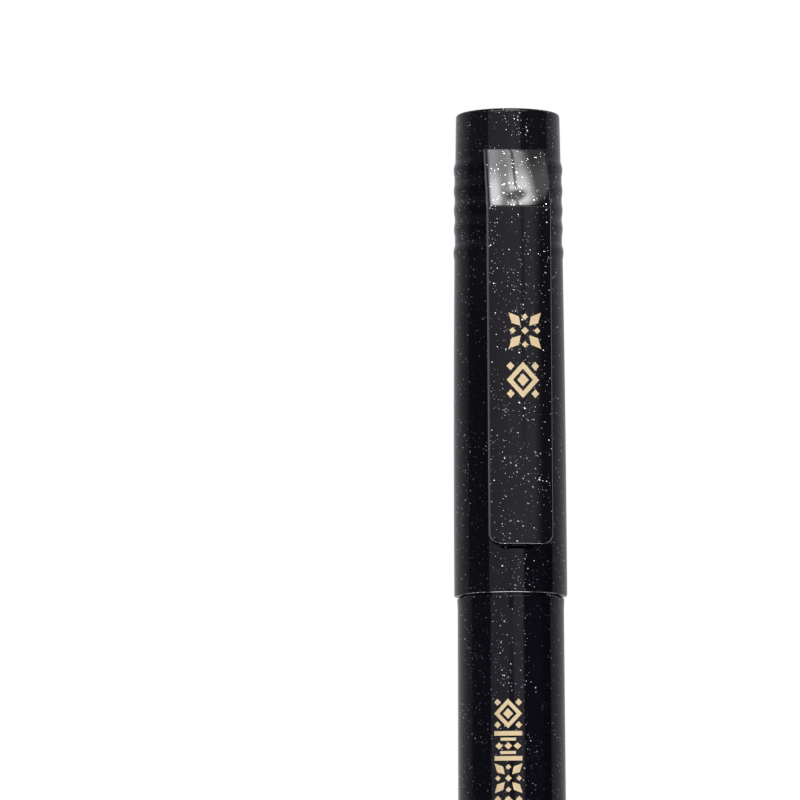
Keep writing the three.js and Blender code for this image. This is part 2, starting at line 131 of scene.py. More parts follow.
# Cap and inner cap
CAP_MOUTH_R = 6.075
CAP_BULGE_R = 6.08
CAP_BULGE_RISE = 28.4
CAP_TOP_R = 5.6
CAP_MOUTH_EDGE = 0.24
CAP_TOP_EDGE = 0.36
CAP_TOP_WALL = 1.6
GRIP_RIB_DEPTHS = (6.0, 8.3, 10.4, 12.45, 15.0)
GRIP_RIB_HALF = 0.85
GRIP_R = 5.785  # between the ribs, where the cap is straight
GRIP_RIB_R = 5.88
LAST_RIB_R = 5.95  # the rib nearest the mouth stands prouder
SNAP_R = BEAD_R + 0.06
BEAD_GROOVE_R = 5.5
CAP_BORE_LOW_R = 5.3
CAP_BORE_HIGH_R = 5.08
INNER_SEAT_R = 4.9
CAP_NARROW_R = 4.3
CAP_NARROW_RISE = 41
CAP_ROW = 1.5  # spacing of the cap's mesh rings below the ribs
RIB_ROW = 0.08  # over the ribs
CAP_TOP_ROW = 0.6  # above the ribs
RIB_MARGIN = 1.0  # the fine rings reach this far past the outer ribs
INNER_BORE_R = 3.3
INNER_WALL_R = 3.85
INNER_SEAL = 5.0  # height of the bore that seals on the collar
INNER_FLANGE = 2.4
INNER_CEILING = 1.2

# Clip
CLIP_CORNER_R = 1.35
CLIP_RAMP = 6.6
CLIP_ROOT = 4.6
CLIP_TOP_REACH = 6.1
CLIP_RAMP_REACH = 8.6
CLIP_THICK = 1.2
CLIP_TOP_EDGE = 0.12
CLIP_EDGE_R = 0.06  # rounding between the outer face and its bevel
CLIP_BEVEL = 0.52  # length of the steep bevel round the outer face
CLIP_BEVEL_TURN = math.radians(75)  # how far the bevel turns away from the face
CLIP_DRAFT = 0.02  # how much the wall below the bevel leans in
CLIP_CROWN_R = 20.0  # the outer face is a shallow cylinder of this radius
CLIP_BEND = 0.05  # half length of the bend below the ramp
RAMP_BULGE = 0.08  # how far the ramp bows outwards at its middle
CLIP_PIVOT_Z = CLIP_TOP_Z - 0.8
CLIP_NUB_Z = CLIP_BOTTOM_Z + 2.9
CLIP_NUB_R = 1.5
CLIP_KEY_R = 0.5
CLIP_KEY_HALF = 2.1
CLIP_WALL_RING = 0.08  # a mesh ring this far behind the bevel keeps the wall's shading flat
CLIP_PLAY = 0.2  # gap between the clip's root and the cap, up to the pivot
CLIP_FILLET = 1.2  # height over which the clip's back swings out from the cap
CLIP_LEAST_THICK = 0.12
CLIP_COLUMNS = 16  # mesh columns across the clip

# Decoration
FOIL_RISE = 0.015  # the foil stands this far off the plastic
FOIL_STEP = 0.16  # spacing of points along a foil shape's sides


# ---- Outlines ---------------------------------------------------------------------------------


def quadratic(start, control, end, steps=ARC):
    """Points of a quadratic curve, without its start."""
    points = []
    for i in range(1, steps + 1):
        t = i / steps
        a, b, c = (1 - t) ** 2, 2 * t * (1 - t), t * t
        points.append(tuple(a * p + b * q + c * r for p, q, r in zip(start, control, end)))
    return points


def spaced(low, high, step):
    """Even values from one number to another, no further apart than a step."""
    count = max(1, math.ceil(abs(high - low) / step))
    return [low + (high - low) * i / count for i in range(count + 1)]


# ---- Meshes -----------------------------------------------------------------------------------


def finish_mesh(name, bm, crease=32):
    """Object of a bmesh in millimetres: outward faces, smooth shading, sharp where it creases."""
    bmesh.ops.remove_doubles(bm, verts=bm.verts, dist=1e-5)
    bmesh.ops.recalc_face_normals(bm, faces=bm.faces)
    bmesh.ops.scale(bm, vec=(MM, MM, MM), verts=bm.verts)
    mesh = bpy.data.meshes.new(name)
    bm.to_mesh(mesh)
    bm.free()
    mesh.shade_smooth()
    mesh.set_sharp_from_angle(angle=math.radians(crease))
    made = bpy.data.objects.new(name, mesh)
    bpy.context.scene.collection.objects.link(made)
    return made


def turn(bm, outline, segments=SEGMENTS):
    """Adds a solid of revolution about Z. The outline closes on itself or ends on the axis."""
    rings = []
    for r, z in outline:
        if r < 1e-6:
            rings.append([bm.verts.new((0, 0, z))])
            continue
        angles = [2 * math.pi * i / segments for i in range(segments)]
        rings.append([bm.verts.new((r * math.cos(a), r * math.sin(a), z)) for a in angles])
    pairs = list(zip(rings, rings[1:]))
    if len(rings[0]) > 1:
        pairs.append((rings[-1], rings[0]))
    for low, high in pairs:
        for i in range(segments):
            j = (i + 1) % segments
            corners = [low[i % len(low)], low[j % len(low)]]
            corners += [high[j % len(high)], high[i % len(high)]]
            face = list(dict.fromkeys(corners))
            if len(face) > 2:
                bm.faces.new(face)


def turned(name, outline):
    """Object of one solid of revolution."""
    bm = bmesh.new()
    turn(bm, outline)
    return finish_mesh(name, bm)


def bridge(bm, ring_a, ring_b):
    """Faces between two closed rings of equal length."""
    count = len(ring_a)
    for i in range(count):
        j = (i + 1) % count
        bm.faces.new((ring_a[i], ring_a[j], ring_b[j], ring_b[i]))


# ---- Materials --------------------------------------------------------------------------------


class Nodes:
    """Short way of writing a node tree."""

    def __init__(self, tree):
        self.tree = tree
        tree.nodes.clear()

    def add(self, kind, **values):
        node = self.tree.nodes.new(kind)
        for key, value in values.items():
            setattr(node, key, value)
        return node

    def link(self, source, target):
        self.tree.links.new(source, target)

    def put(self, socket, value):
        if isinstance(value, bpy.types.NodeSocket):
            self.link(value, socket)
        else:
            socket.default_value = value

    def math(self, operation, a, b=0.0, c=0.0):
        node = self.add("ShaderNodeMath", operation=operation)
        for socket, value in zip(node.inputs, (a, b, c)):
            self.put(socket, value)
        return node.outputs[0]

    def vector(self, operation, a, b=(0, 0, 0)):
        node = self.add("ShaderNodeVectorMath", operation=operation)
        self.put(node.inputs[0], a)
        self.put(node.inputs[1], b)
        return node.outputs["Value" if operation == "DOT_PRODUCT" else "Vector"]

    def scaled(self, a, factor):
        node = self.add("ShaderNodeVectorMath", operation="SCALE")
        self.put(node.inputs[0], a)
        self.put(node.inputs["Scale"], factor)
        return node.outputs[0]

    def step(self, value, low, high):
        """0 at low and 1 at high, smooth between and level beyond; low may be the higher one."""
        node = self.add("ShaderNodeMapRange", interpolation_type="SMOOTHSTEP")
        self.put(node.inputs["Value"], value)
        self.put(node.inputs["From Min"], low)
        self.put(node.inputs["From Max"], high)
        return node.outputs[0]

    def mix_colour(self, share, a, b):
        node = self.add("ShaderNodeMix", data_type="RGBA")
        self.put(node.inputs["Factor"], share)
        self.put(node.inputs[6], a)
        self.put(node.inputs[7], b)
        return node.outputs[2]

    def mix_number(self, share, a, b):
        node = self.add("ShaderNodeMix", data_type="FLOAT")
        self.put(node.inputs["Factor"], share)
        self.put(node.inputs[2], a)
        self.put(node.inputs[3], b)
        return node.outputs[0]

    def noise(self, vector, scale, detail=2.0):
        node = self.add("ShaderNodeTexNoise")
        self.link(vector, node.inputs["Vector"])
        node.inputs["Scale"].default_value = scale
        node.inputs["Detail"].default_value = detail
        return node.outputs["Fac"]

    def ramp(self, value, stops):
        node = self.add("ShaderNodeValToRGB")
        self.link(value, node.inputs[0])
        elements = node.color_ramp.elements
        while len(elements) < len(stops):
            elements.new(0.5)
        for element, (position, colour) in zip(elements, stops):
            element.position = position
        for element, (position, colour) in zip(elements, stops):
            element.color = colour
        return node.outputs[0]

    def object_coordinates(self):
        return self.add("ShaderNodeTexCoord").outputs["Object"]


def new_material(name):
    """A material, its nodes and its Principled shader, already wired to the output."""
    material = bpy.data.materials.new(name)
    material.use_nodes = True
    n = Nodes(material.node_tree)
    shader = n.add("ShaderNodeBsdfPrincipled")
    output = n.add("ShaderNodeOutputMaterial")
    n.link(shader.outputs[0], output.inputs["Surface"])
    return material, n, shader


BIG_FLAKE_CELL = 0.36 * MM
BIG_FLAKE_R = (0.10, 0.19)  # smallest and largest flake, in cells
FINE_FLAKE_CELL = 0.20 * MM
FINE_FLAKE_R = (0.08, 0.165)
FLAKE_TILT = 0.26  # how far flakes lean away from the surface
SILVER = (0.97, 0.97, 1.0, 1)


def flake_layer(n, place, cell, radii, share):
    """Scattered flakes: (mask, random colour of each flake)."""
    voronoi = n.add("ShaderNodeTexVoronoi", voronoi_dimensions="3D", feature="F1")
    n.link(place, voronoi.inputs["Vector"])
    voronoi.inputs["Scale"].default_value = 1 / cell
    channels = n.add("ShaderNodeSeparateColor")
    n.link(voronoi.outputs["Color"], channels.inputs[0])
    smallest, largest = radii
    size = n.math("POWER", channels.outputs["Green"], 2.0)
    radius = n.math("MULTIPLY_ADD", size, largest - smallest, smallest)
    inside = n.math("LESS_THAN", voronoi.outputs["Distance"], radius)
    chosen = n.math("LESS_THAN", channels.outputs["Red"], share)
    return n.math("MULTIPLY", inside, chosen), voronoi.outputs["Color"]


def drawn_out(n, place):
    """Coordinates squeezed along a slanting line, so that flakes come out long in its direction."""
    slant = (0.707, 0, -0.707)
    along = n.vector("DOT_PRODUCT", place, slant)
    return n.vector("SUBTRACT", place, n.scaled(slant, n.math("MULTIPLY", along, 0.4)))


def flow_of_flakes(n, place):
    """Where flakes gather: long soft streaks that slant down to the right."""
    along = n.vector("DOT_PRODUCT", place, (0.7, 0, -0.7))
    across = n.vector("DOT_PRODUCT", place, (0.7, 0, 0.7))
    parts = n.add("ShaderNodeSeparateXYZ")
    n.link(place, parts.inputs[0])
    streaks = n.add("ShaderNodeCombineXYZ")
    n.link(n.math("MULTIPLY", along, 0.25), streaks.inputs[0])
    n.link(across, streaks.inputs[1])
    n.link(n.math("MULTIPLY", parts.outputs[1], 0.6), streaks.inputs[2])
    return n.noise(streaks.outputs[0], 0.55 / MM, detail=1.0)


def glitter_plastic(name, dark, light, fewest=0.25):
    """Near-black plastic, clouded between two colours, with silver flakes under a clear gloss.

    The last value is the share of fine flakes where they are fewest.
    """
    material, n, shader = new_material(name)
    place = n.object_coordinates()
    flow = n.step(flow_of_flakes(n, place), 0.30, 0.66)
    slanted = drawn_out(n, place)
    big_share = n.mix_number(flow, 0.15, 0.95)
    fine_share = n.mix_number(flow, fewest, 0.95)
    big, big_colour = flake_layer(n, slanted, BIG_FLAKE_CELL, BIG_FLAKE_R, big_share)
    fine, fine_colour = flake_layer(n, slanted, FINE_FLAKE_CELL, FINE_FLAKE_R, fine_share)
    mask = n.math("MAXIMUM", big, fine)
    colour = n.mix_colour(big, fine_colour, big_colour)

    aside = n.vector("SUBTRACT", colour, (0.5, 0.5, 0.5))
    lean = n.scaled(aside, n.math("MULTIPLY", mask, FLAKE_TILT))
    normal = n.add("ShaderNodeNewGeometry").outputs["Normal"]
    n.link(n.vector("NORMALIZE", n.vector("ADD", normal, lean)), shader.inputs["Normal"])

    clouds = n.noise(place, 0.25 / MM)
    black = n.mix_colour(clouds, dark, light)
    n.link(n.mix_colour(mask, black, SILVER), shader.inputs["Base Color"])
    n.link(mask, shader.inputs["Metallic"])
    n.link(n.mix_number(mask, 0.5, 0.2), shader.inputs["Roughness"])
    shader.inputs["Specular IOR Level"].default_value = 0.0
    shader.inputs["Coat Weight"].default_value = 1.0
    shader.inputs["Coat Roughness"].default_value = 0.03
    shader.inputs["Coat IOR"].default_value = 1.5
    return material


def gold_foil():
    """Hot-stamped pale gold foil with a faint grain and thin spots."""
    material, n, shader = new_material("gold_foil")
    place = n.object_coordinates()
    grain = n.noise(place, 9 / MM, detail=3.0)
    wear = n.noise(place, 1.4 / MM)
    pale = n.mix_colour(wear, (1.0, 0.80, 0.46, 1), (1.0, 0.84, 0.52, 1))
    n.link(pale, shader.inputs["Base Color"])
    n.link(n.mix_number(grain, 0.5, 0.62), shader.inputs["Roughness"])
    shader.inputs["Metallic"].default_value = 0.7
    bump = n.add("ShaderNodeBump")
    bump.inputs["Strength"].default_value = 0.12
    bump.inputs["Distance"].default_value = 0.01 * MM
    n.link(grain, bump.inputs["Height"])
    n.link(bump.outputs[0], shader.inputs["Normal"])
    return material


def bristle_nylon():
    """Black nylon hair: lengthwise variation and a soft sheen."""
    material, n, shader = new_material("bristle_nylon")
    place = n.object_coordinates()
    squeeze = n.add("ShaderNodeMapping", vector_type="TEXTURE")
    n.link(place, squeeze.inputs["Vector"])
    squeeze.inputs["Scale"].default_value = (1, 1, 14)
    hairs = n.noise(squeeze.outputs[0], 7 / MM, detail=3.0)
    black = n.mix_colour(hairs, (0.004, 0.004, 0.0055, 1), (0.018, 0.017, 0.023, 1))
    n.link(black, shader.inputs["Base Color"])
    n.link(n.mix_number(hairs, 0.42, 0.7), shader.inputs["Roughness"])
    return material


def moulded_white():
    """Natural white moulded plastic with slow colour and gloss variation."""
    material, n, shader = new_material("moulded_white")
    place = n.object_coordinates()
    clouds = n.noise(place, 0.35 / MM, detail=3.0)
    pale = n.mix_colour(clouds, (0.66, 0.66, 0.62, 1), (0.76, 0.76, 0.73, 1))
    n.link(pale, shader.inputs["Base Color"])
    n.link(n.mix_number(clouds, 0.35, 0.5), shader.inputs["Roughness"])
    shader.inputs["Subsurface Weight"].default_value = 0.15
    shader.inputs["Subsurface Scale"].default_value = 0.5 * MM
    return material


def inked_fibre():
    """Bonded fibre soaked with ink: fine lengthwise strands."""
    material, n, shader = new_material("inked_fibre")
    squeeze = n.add("ShaderNodeMapping", vector_type="TEXTURE")
    n.link(n.object_coordinates(), squeeze.inputs["Vector"])
    squeeze.inputs["Scale"].default_value = (1, 1, 9)
    strands = n.noise(squeeze.outputs[0], 5 / MM, detail=4.0)
    inky = n.mix_colour(strands, (0.006, 0.006, 0.008, 1), (0.03, 0.03, 0.036, 1))
    n.link(inky, shader.inputs["Base Color"])
    n.link(n.mix_number(strands, 0.75, 0.95), shader.inputs["Roughness"])
    return material


def wrap_film():
    """Thin milky film round the ink store, with slight wrinkles."""
    material, n, shader = new_material("wrap_film")
    wrinkles = n.noise(n.object_coordinates(), 0.8 / MM, detail=3.0)
    milky = n.mix_colour(wrinkles, (0.5, 0.52, 0.54, 1), (0.66, 0.68, 0.7, 1))
    n.link(milky, shader.inputs["Base Color"])
    n.link(n.mix_number(wrinkles, 0.2, 0.4), shader.inputs["Roughness"])
    return material


def floor_paint():
    """Pale studio floor, seen from above only."""
    material, n, shader = new_material("floor_paint")
    speckle = n.noise(n.object_coordinates(), 40.0, detail=2.0)
    paint = n.mix_colour(speckle, (0.86, 0.86, 0.86, 1), (0.88, 0.88, 0.88, 1))
    n.link(paint, shader.inputs["Base Color"])
    shader.inputs["Roughness"].default_value = 0.8
    under = n.add("ShaderNodeNewGeometry").outputs["Backfacing"]
    n.link(n.math("SUBTRACT", 1.0, under), shader.inputs["Alpha"])
    return material


def dress(piece, material, body, replaces=()):
    """Gives a piece its material and its body, and hides the CAD nodes that it stands for."""
    piece.data.materials.clear()
    piece.data.materials.append(material)
    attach(piece, body)
    if replaces:
        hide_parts(*replaces)


# ---- Barrel end of the pen --------------------------------------------------------------------


def barrel_radius(z):
    """Outer radius of the barrel at a height below its neck."""
    if z >= SWELL_END_Z:
        share = (z - SWELL_END_Z) / (RIM_Z - LIP_HEIGHT - SWELL_END_Z)
        return BODY_R + (NECK_R - BODY_R) * share
    t = (z - BARREL_LOW_Z) / (SWELL_END_Z - BARREL_LOW_Z)
    return BODY_R - (BODY_R - TAIL_R) * (1 - t) ** 2


def barrel():
    socket_z = RIM_Z - SOCKET_DEPTH
    lip_z = RIM_Z - LIP_HEIGHT
    rim_z = RIM_Z - PARTING
    heights = spaced(SWELL_END_Z, lip_z - 0.4, 2.0)[1:] + [lip_z - 0.15, lip_z]
    outline = [(BARREL_BORE_R, BARREL_LOW_Z), (TAIL_R, BARREL_LOW_Z)]
    outline += quadratic(outline[-1], (BODY_R, SWELL_START_Z), (BODY_R, SWELL_END_Z), 40)
    outline += [(barrel_radius(z), z) for z in heights]
    outline += quadratic(outline[-1], (NECK_R, rim_z - 0.8), (LIP_R, rim_z - LIP_EDGE))
    outline += quadratic(outline[-1], (LIP_R, rim_z), (LIP_R - LIP_EDGE, rim_z))
    outline += [(SOCKET_R, rim_z), (SOCKET_R, socket_z), (BARREL_BORE_R, socket_z - 0.15)]
    return turned("barrel_body", outline)


def tail_plug():
    spigot_r = BARREL_BORE_R - FIT
    outline = [(0, 0), (TAIL_R - TAIL_EDGE, 0)]
    outline += quadratic(outline[-1], (TAIL_R, 0), (TAIL_R, TAIL_EDGE))
    outline += [(TAIL_R, TAIL_FLANGE - 0.12), (TAIL_R - CHAMFER, TAIL_FLANGE)]
    outline += [(spigot_r, TAIL_FLANGE)]
    outline += [(spigot_r, PLUG_TOP_Z), (spigot_r - PLUG_WALL, PLUG_TOP_Z)]
    outline += [(spigot_r - PLUG_WALL, TAIL_FLANGE), (0, TAIL_FLANGE)]
    return turned("tail_plug_cap", outline)


# ---- Front section and brush unit -------------------------------------------------------------


def front_section():
    spigot_r = SOCKET_R - FIT
    seat = RIM_Z + SEAT_GAP
    bead_low, bead_high = RIM_Z + BEAD_LOW, RIM_Z + BEAD_HIGH
    bead_middle = (bead_low + bead_high) / 2
    outlet_r = COLLAR_R + FIT
    wall_z = SHOULDER_Z - SHOULDER_WALL
    outline = [(SECTION_BORE_R, SECTION_LOW_Z), (spigot_r, SECTION_LOW_Z), (spigot_r, seat)]
    outline += [(LAND_R, seat), (LAND_R, bead_low - 0.1)]
    outline += quadratic(outline[-1], (BEAD_R, bead_low + 0.1), (BEAD_R, bead_middle))
    outline += quadratic(outline[-1], (BEAD_R, bead_high - 0.1), (SECTION_LOW_R, bead_high))
    outline += [(SECTION_HIGH_R, SHOULDER_Z - SHOULDER_EDGE)]
    shoulder = (SECTION_HIGH_R - SHOULDER_EDGE, SHOULDER_Z)
    outline += quadratic(outline[-1], (SECTION_HIGH_R, SHOULDER_Z), shoulder)
    outline += [(outlet_r + CHAMFER, SHOULDER_Z), (outlet_r, SHOULDER_Z - CHAMFER)]
    outline += [(outlet_r, wall_z), (SECTION_BORE_R, wall_z)]
    return turned("front_section_body", outline)


def brush_collar():
    flange_top = COLLAR_LOW_Z + COLLAR_FLANGE
    bore_r = BRUSH_R + FIT
    seat_z = COLLAR_LOW_Z + ROOT_SEAT
    nose = (COLLAR_R - COLLAR_EDGE, COLLAR_TOP_Z)
    outline = [(ROOT_SEAT_R, COLLAR_LOW_Z), (COLLAR_FLANGE_R, COLLAR_LOW_Z)]
    outline += [(COLLAR_FLANGE_R, flange_top), (COLLAR_R, flange_top)]
    outline += [(COLLAR_R, COLLAR_TOP_Z - COLLAR_EDGE)]
    outline += quadratic(outline[-1], (COLLAR_R, COLLAR_TOP_Z), nose)
    outline += [(bore_r + 0.08, COLLAR_TOP_Z), (bore_r, COLLAR_TOP_Z - 0.08)]
    outline += [(bore_r, seat_z), (ROOT_SEAT_R, seat_z)]
    return turned("brush_collar_ring", outline)


def brush_radius(z):
    """Radius of the bundle of bristles at a height."""
    along = max(0.0, (z - COLLAR_TOP_Z) / (BRUSH_POINT_Z - COLLAR_TOP_Z))
    return BRUSH_R * (1 - along * along)


HAIR_COUNT = 340
HAIR_R = 0.075
HAIR_RINGS = 22
HAIR_SIDES = 5
CORE_RINGS = 40
TIP_SPREAD = 0.42  # share of the brush's length over which hairs end


def bristles():
    """A dense core with hairs lying over it that gather to the point."""
    bm = bmesh.new()
    core = [(0, BRUSH_LOW_Z), (BRUSH_R - HAIR_R, BRUSH_LOW_Z)]
    for i in range(CORE_RINGS + 1):
        z = COLLAR_TOP_Z + (BRUSH_POINT_Z - COLLAR_TOP_Z - 0.4) * i / CORE_RINGS
        core.append((max(brush_radius(z) - 1.2 * HAIR_R, 0.02), z))
    core.append((0, BRUSH_POINT_Z - 0.3))
    turn(bm, core, 48)
    chance = random.Random(11)
    for i in range(HAIR_COUNT):
        angle = i * math.pi * (3 - math.sqrt(5))
        reach = 1 - TIP_SPREAD * chance.random() ** 2
        stop = COLLAR_TOP_Z + (BRUSH_POINT_Z - COLLAR_TOP_Z) * reach
        hair(bm, angle, stop, chance)
    return finish_mesh("bristle_bundle", bm, crease=60)


def hair(bm, angle, stop, chance):
    """One hair on the bundle's surface, from inside the collar to its own tip."""
    start = COLLAR_TOP_Z - 1.0
    depth = chance.random() * 0.6  # how deep it lies, in its own radii
    sway = (chance.random() - 0.5) * 0.10
    rings = []
    for i in range(HAIR_RINGS + 1):
        t = i / HAIR_RINGS
        z = start + (stop - start) * t
        thin = HAIR_R * min(1.0, 3.2 * (1 - t) + 0.05)
        r = max(brush_radius(z) - thin * (1 + depth), 0.0)
        a = angle + sway * math.sin(3 * t)
        middle = Vector((r * math.cos(a), r * math.sin(a), z))
        out = Vector((math.cos(a), math.sin(a), 0))
        side = Vector((-math.sin(a), math.cos(a), 0))
        turns = [2 * math.pi * k / HAIR_SIDES for k in range(HAIR_SIDES)]
        points = [middle + thin * (out * math.cos(k) + side * math.sin(k)) for k in turns]
        rings.append([bm.verts.new(point) for point in points])
    for low, high in zip(rings, rings[1:]):
        bridge(bm, low, high)
    bm.faces.new(rings[0])
    bm.faces.new(rings[-1])


# ---- Cap --------------------------------------------------------------------------------------


def cap_radius(z):
    """Outer radius of the cap at a height, without its ribs."""
    low, high = MOUTH_Z, CAP_TOP_Z
    middle = MOUTH_Z + CAP_BULGE_RISE
    a = low - 2 * middle + high
    b = 2 * (middle - low)
    t = (-b + math.sqrt(b * b - 4 * a * (low - z))) / (2 * a)
    return CAP_MOUTH_R * (1 - t) ** 2 + CAP_BULGE_R * 2 * t * (1 - t) + CAP_TOP_R * t * t


def ribbed_radius(z):
    """Outer radius of the cap where it has its grip ribs."""
    first, last = (CAP_TOP_Z - depth for depth in (GRIP_RIB_DEPTHS[0], GRIP_RIB_DEPTHS[-1]))
    foot = GRIP_R if last < z < first else cap_radius(z)
    for depth in GRIP_RIB_DEPTHS:
        crest = LAST_RIB_R if depth == GRIP_RIB_DEPTHS[-1] else GRIP_RIB_R
        offset = abs(z - (CAP_TOP_Z - depth)) / GRIP_RIB_HALF
        if offset < 1:
            return foot + (crest - foot) * (1 - offset * offset) ** 1.5
    return foot


def cap_outside():
    """Outside of the cap from mouth to top."""
    edge_z = MOUTH_Z + CAP_MOUTH_EDGE
    points = [(CAP_MOUTH_R - CAP_MOUTH_EDGE, MOUTH_Z)]
    points += quadratic(points[-1], (CAP_MOUTH_R, MOUTH_Z), (cap_radius(edge_z), edge_z))
    ribs_low = CAP_TOP_Z - GRIP_RIB_DEPTHS[-1] - RIB_MARGIN
    ribs_high = CAP_TOP_Z - GRIP_RIB_DEPTHS[0] + RIB_MARGIN
    points += [(cap_radius(MOUTH_Z + rise), MOUTH_Z + rise) for rise in (0.3, 0.45, 0.8)]
    z = MOUTH_Z + CAP_ROW
    while z < ribs_low:
        points.append((cap_radius(z), z))
        z += CAP_ROW
    z = ribs_low
    while z < ribs_high:
        points.append((ribbed_radius(z), z))
        z += RIB_ROW
    while z < CAP_TOP_Z - CAP_TOP_EDGE - 0.4:
        points.append((cap_radius(z), z))
        z += CAP_TOP_ROW
    edge_z = CAP_TOP_Z - CAP_TOP_EDGE
    points += [(cap_radius(z), z) for z in (edge_z - 0.2, edge_z - 0.06, edge_z)]
    points += quadratic(points[-1], (CAP_TOP_R, CAP_TOP_Z), (CAP_TOP_R - CAP_TOP_EDGE, CAP_TOP_Z))
    return points


def cap_shell():
    ceiling = CAP_TOP_Z - CAP_TOP_WALL
    narrow_z = MOUTH_Z + CAP_NARROW_RISE
    seat_z = INNER_LOW_Z - 0.3
    inside = [(0, ceiling), (CAP_NARROW_R, ceiling), (CAP_NARROW_R, narrow_z)]
    inside += [(INNER_SEAT_R, narrow_z - 1), (INNER_SEAT_R, seat_z)]
    inside += [(CAP_BORE_HIGH_R, seat_z - 0.2), (CAP_BORE_LOW_R, MOUTH_Z + 4.6)]
    inside += [(BEAD_GROOVE_R, MOUTH_Z + 4), (BEAD_GROOVE_R, MOUTH_Z + 1.3)]
    inside += quadratic(inside[-1], (SNAP_R, MOUTH_Z + 1.15), (SNAP_R, MOUTH_Z + 0.75))
    inside += quadratic(inside[-1], (SNAP_R, MOUTH_Z + 0.3), (SNAP_R + 0.3, MOUTH_Z))
    return turned("cap_body", inside + cap_outside() + [(0, CAP_TOP_Z)])


def inner_cap():
    seal_r = COLLAR_R + FIT
    seal_z = INNER_LOW_Z + INNER_SEAL
    flange_z = INNER_LOW_Z + INNER_FLANGE
    ceiling = INNER_TOP_Z - INNER_CEILING
    outline = [(0, ceiling), (INNER_BORE_R, ceiling), (INNER_BORE_R, seal_z + 0.4)]
    outline += [(seal_r, seal_z), (seal_r, INNER_LOW_Z + 0.2)]
    outline += quadratic(outline[-1], (seal_r, INNER_LOW_Z), (seal_r + 0.2, INNER_LOW_Z))
    outline += [(INNER_FLANGE_R - 0.15, INNER_LOW_Z)]
    flange_corner = (INNER_FLANGE_R, INNER_LOW_Z)
    outline += quadratic(outline[-1], flange_corner, (INNER_FLANGE_R, INNER_LOW_Z + 0.15))
    outline += [(INNER_FLANGE_R, flange_z), (INNER_WALL_R, flange_z + 0.6)]
    outline += [(INNER_WALL_R, INNER_TOP_Z - 0.6), (INNER_WALL_R - 0.6, INNER_TOP_Z)]
    outline += [(0, INNER_TOP_Z)]
    return turned("inner_cap_cup", outline)


# ---- Clip -------------------------------------------------------------------------------------


def clip_outer_reach(z):
    """Distance of the clip's outer face from the axis, on its centre line."""
    ramp_z = CLIP_TOP_Z - CLIP_RAMP
    slope = (CLIP_RAMP_REACH - CLIP_TOP_REACH) / CLIP_RAMP
    if z >= ramp_z + CLIP_BEND:
        reach = CLIP_TOP_REACH + slope * (CLIP_TOP_Z - z)
        share = (CLIP_TOP_Z - z) / (CLIP_RAMP - CLIP_BEND)
        return reach + RAMP_BULGE * 4 * share * (1 - share)
    lower_slope = (CLIP_REACH - CLIP_RAMP_REACH) / (ramp_z - CLIP_BOTTOM_Z)
    if z <= ramp_z - CLIP_BEND:
        return CLIP_RAMP_REACH + lower_slope * (ramp_z - z)
    t = (ramp_z + CLIP_BEND - z) / (2 * CLIP_BEND)
    start = CLIP_RAMP_REACH - slope * CLIP_BEND
    rise = (slope + lower_slope) * CLIP_BEND
    enter = 2 * CLIP_BEND * (slope - 4 * RAMP_BULGE / (CLIP_RAMP - CLIP_BEND)) - rise
    leave = rise - 2 * CLIP_BEND * lower_slope
    return start + rise * t + t * (1 - t) * (enter * (1 - t) + leave * t)


def rounding(distance, radius):
    """How far a rounded edge falls away at a distance in from the edge."""
    if distance >= radius:
        return 0.0
    return radius - math.sqrt(max(radius ** 2 - (radius - distance) ** 2, 0.0))


def clip_face(x, z):
    """Reach of the clip's outer face: crowned across, rounded at its top."""
    crown = CLIP_CROWN_R - math.sqrt(CLIP_CROWN_R ** 2 - x * x)
    return clip_outer_reach(z) - crown - rounding(CLIP_TOP_Z - z, CLIP_TOP_EDGE)


def clip_back(x, z):
    """Reach of the clip's inner face: it meets the cap at the root and hangs free below."""
    root_z = CLIP_TOP_Z - CLIP_ROOT
    free = clip_outer_reach(min(z, CLIP_TOP_Z - CLIP_RAMP)) - CLIP_THICK
    play = CLIP_PLAY + max(0.0, z - CLIP_PIVOT_Z) * 0.1
    on_cap = math.sqrt((cap_radius(z) + play) ** 2 - x * x)
    share = min(1.0, max(0.0, (z - root_z + CLIP_FILLET) / CLIP_FILLET))
    ease = share * share
    blended = free + (min(on_cap, free) - free) * ease
    return min(blended, clip_face(x, z) - CLIP_LEAST_THICK)


def clip_edge_steps():
    """Section through the clip's long edge, from its wall to its face: (inset, drop)."""
    turn_share = (CLIP_BEVEL_TURN * i / 6 for i in range(6, -1, -1))
    inset = CLIP_DRAFT + CLIP_BEVEL * math.cos(CLIP_BEVEL_TURN)
    reach = inset + CLIP_EDGE_R * math.sin(CLIP_BEVEL_TURN)
    arc = [(reach - CLIP_EDGE_R * math.sin(a), CLIP_EDGE_R * (1 - math.cos(a))) for a in turn_share]
    foot = arc[0][1] + CLIP_BEVEL * math.sin(CLIP_BEVEL_TURN)
    return [(0.88 * CLIP_DRAFT, foot + CLIP_WALL_RING), (CLIP_DRAFT, foot)] + arc


def clip_heights():
    """Heights of the clip's mesh rows above its bottom corners, dense where it curves."""
    ramp_z = CLIP_TOP_Z - CLIP_RAMP
    root_z = CLIP_TOP_Z - CLIP_ROOT
    rows = [CLIP_TOP_Z - CLIP_TOP_EDGE * (1 - math.cos(math.pi / 2 * i / 6)) for i in range(7)]
    rows += spaced(rows[-1], root_z, 0.25)[1:]
    rows += spaced(root_z, ramp_z + CLIP_BEND, 0.15)[1:]
    rows += spaced(ramp_z + CLIP_BEND, ramp_z - CLIP_BEND, 0.02)[1:]
    rows += spaced(ramp_z - CLIP_BEND, CLIP_BOTTOM_Z + CLIP_CORNER_R, 0.8)[1:]
    return rows


